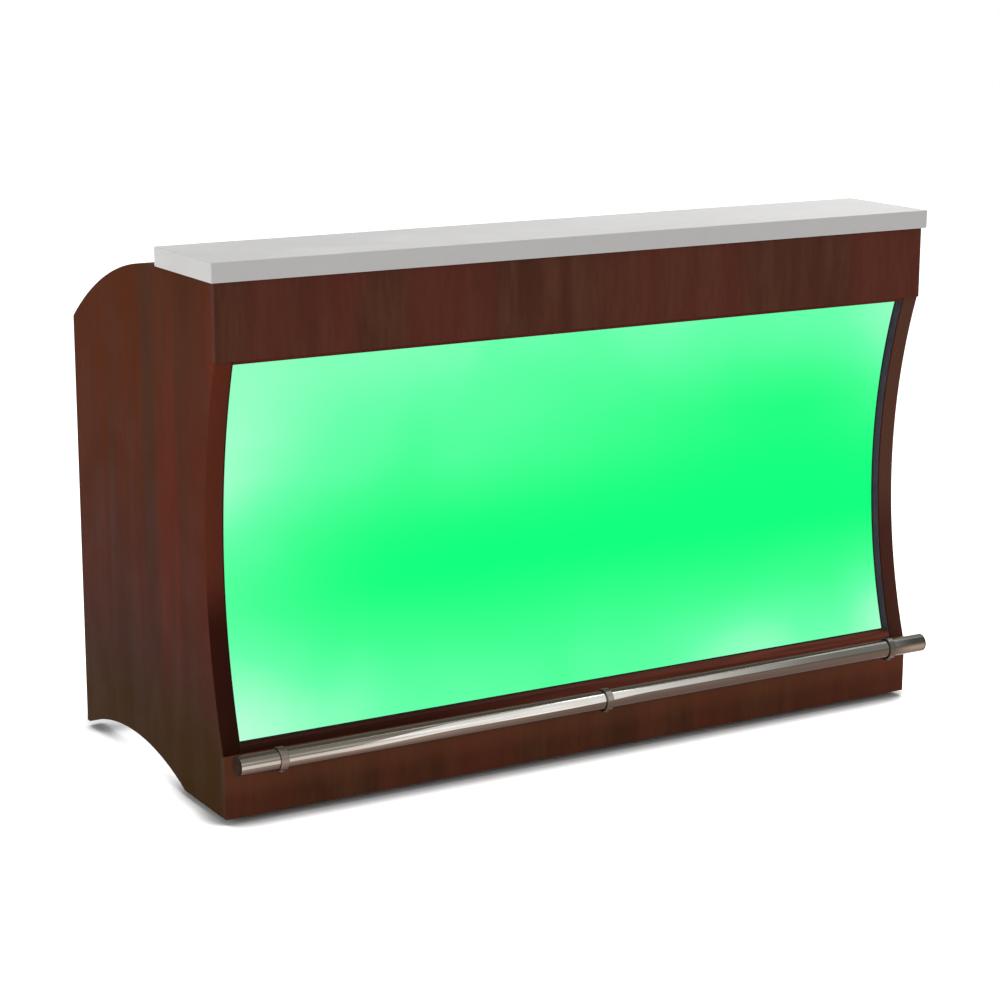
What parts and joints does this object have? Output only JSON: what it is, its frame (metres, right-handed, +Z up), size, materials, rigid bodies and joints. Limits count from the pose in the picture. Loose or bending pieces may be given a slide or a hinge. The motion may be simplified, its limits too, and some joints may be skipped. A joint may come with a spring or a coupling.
{
  "type": "portable bar",
  "caption": "Free-standing bar on casters with a pale counter slab, lit concave front, foot rail, work top with ice bin, bottle rail and open storage.",
  "frame": {"origin": "on the floor, under the centre of the bar's outer box", "axes": "+Z up, +X along the counter, -Y towards the guests and +Y towards the bartender"},
  "size_m": [1.66, 0.782, 1.079],
  "materials": {
    "outer_wood": "satin dark reddish-brown wood grain",
    "inner_board": "satin dark laminate",
    "counter": "matt pale grey solid surface",
    "light_panel": "translucent sheet lit green from behind",
    "light_strip": "coated light strips",
    "lead": "black sheath",
    "driver": "satin housing",
    "switch": "black moulding",
    "work_steel": "brushed sheet",
    "bright_steel": "polished",
    "foam": "closed-cell foam",
    "valve": "nickel-plated brass",
    "lever": "red coating",
    "rail_steel": "polished stainless tube",
    "rail_cap": "dark cap",
    "pins": "zinc-plated",
    "caster_steel": "zinc-plated pressed steel",
    "bolts": "zinc-plated",
    "wheel": "dark tread",
    "pedal": "black coating"
  },
  "bodies": {
    "bar_body": {"side_panel_left": "outer_wood", "side_panel_right": "outer_wood", "fascia_board": "outer_wood", "kick_board": "outer_wood", "panel_bead_upper": "outer_wood", "panel_bead_lower": "outer_wood", "base_deck": "inner_board", "inner_wall": "inner_board", "centre_divider": "inner_board", "storage_shelf": "inner_board", "counter_cleats": "inner_board", "light_box_top": "inner_board", "work_top_board": "inner_board", "work_top_apron": "inner_board", "work_top_battens": "inner_board", "counter_slab": "counter", "light_panel": "light_panel", "light_strips": "light_strip", "strip_lead": "lead", "driver_housing": "driver", "switch_bezel": "switch", "power_inlet": "switch", "work_top_skin": "work_steel", "bottle_rail": "work_steel", "ice_bin_liner": "work_steel", "lid_hinge_leaves": "bright_steel", "ice_bin_insulation": "foam", "drain_valve": "valve", "foot_rail_tube": "rail_steel", "rail_bracket_left": "rail_steel", "rail_bracket_centre": "rail_steel", "rail_bracket_right": "rail_steel", "rail_bracket_screws": "rail_steel", "foot_rail_caps": "rail_cap", "shelf_pins": "pins", "driver_screws": "bolts", "caster_plate_front_left": "caster_steel", "caster_plate_front_right": "caster_steel", "caster_plate_rear_left": "caster_steel", "caster_plate_rear_right": "caster_steel", "caster_bolts": "bolts"},
    "switch_rocker": {"switch_rocker": "switch"},
    "ice_bin_lid": {"ice_bin_lid": "work_steel", "lid_handle": "bright_steel", "lid_hinge_knuckles": "bright_steel"},
    "drain_lever": {"drain_lever": "lever"},
    "caster_swivel_front_left": {"caster_fork_front_left": "caster_steel", "caster_axle_front_left": "bolts"},
    "caster_wheel_front_left": {"caster_wheel_front_left": "wheel"},
    "caster_swivel_front_right": {"caster_fork_front_right": "caster_steel", "caster_axle_front_right": "bolts"},
    "caster_wheel_front_right": {"caster_wheel_front_right": "wheel"},
    "caster_swivel_rear_left": {"caster_fork_rear_left": "caster_steel", "caster_axle_rear_left": "bolts"},
    "caster_wheel_rear_left": {"caster_wheel_rear_left": "wheel"},
    "caster_swivel_rear_right": {"caster_fork_rear_right": "caster_steel", "caster_axle_rear_right": "bolts"},
    "caster_wheel_rear_right": {"caster_wheel_rear_right": "wheel"},
    "brake_pedal_rear_left": {"brake_pedal_rear_left": "pedal"},
    "brake_pedal_rear_right": {"brake_pedal_rear_right": "pedal"}
  },
  "joints": [
    {"name": "light_switch", "type": "hinge", "parent": "bar_body", "child": "switch_rocker", "pos_m": [0.54, -0.0944, 0.99], "axis": [1, 0, 0], "range_deg": [-16, 0]},
    {"name": "bin_lid_hinge", "type": "hinge", "parent": "bar_body", "child": "ice_bin_lid", "pos_m": [-0.4, -0.0385, 0.8575], "axis": [1, 0, 0], "range_deg": [0, 90]},
    {"name": "drain_turn", "type": "hinge", "parent": "bar_body", "child": "drain_lever", "pos_m": [-0.3707, 0.115, 0.522], "axis": [-1, 0, 0], "range_deg": [0, 90]},
    {"name": "swivel_front_left", "type": "hinge", "parent": "bar_body", "child": "caster_swivel_front_left", "pos_m": [-0.68, -0.219, 0.09], "axis": [0, 0, 1], "continuous": true},
    {"name": "spin_front_left", "type": "hinge", "parent": "caster_swivel_front_left", "child": "caster_wheel_front_left", "pos_m": [-0.68, -0.194, 0.0375], "axis": [1, 0, 0], "continuous": true},
    {"name": "swivel_front_right", "type": "hinge", "parent": "bar_body", "child": "caster_swivel_front_right", "pos_m": [0.68, -0.219, 0.09], "axis": [0, 0, 1], "continuous": true},
    {"name": "spin_front_right", "type": "hinge", "parent": "caster_swivel_front_right", "child": "caster_wheel_front_right", "pos_m": [0.68, -0.194, 0.0375], "axis": [1, 0, 0], "continuous": true},
    {"name": "swivel_rear_left", "type": "hinge", "parent": "bar_body", "child": "caster_swivel_rear_left", "pos_m": [-0.68, 0.286, 0.09], "axis": [0, 0, 1], "continuous": true},
    {"name": "spin_rear_left", "type": "hinge", "parent": "caster_swivel_rear_left", "child": "caster_wheel_rear_left", "pos_m": [-0.68, 0.311, 0.0375], "axis": [1, 0, 0], "continuous": true},
    {"name": "swivel_rear_right", "type": "hinge", "parent": "bar_body", "child": "caster_swivel_rear_right", "pos_m": [0.68, 0.286, 0.09], "axis": [0, 0, 1], "continuous": true},
    {"name": "spin_rear_right", "type": "hinge", "parent": "caster_swivel_rear_right", "child": "caster_wheel_rear_right", "pos_m": [0.68, 0.311, 0.0375], "axis": [1, 0, 0], "continuous": true},
    {"name": "brake_rear_left", "type": "hinge", "parent": "caster_swivel_rear_left", "child": "brake_pedal_rear_left", "pos_m": [-0.68, 0.341, 0.07], "axis": [1, 0, 0], "range_deg": [0, 25]},
    {"name": "brake_rear_right", "type": "hinge", "parent": "caster_swivel_rear_right", "child": "brake_pedal_rear_right", "pos_m": [0.68, 0.341, 0.07], "axis": [1, 0, 0], "range_deg": [0, 25]}
  ]
}
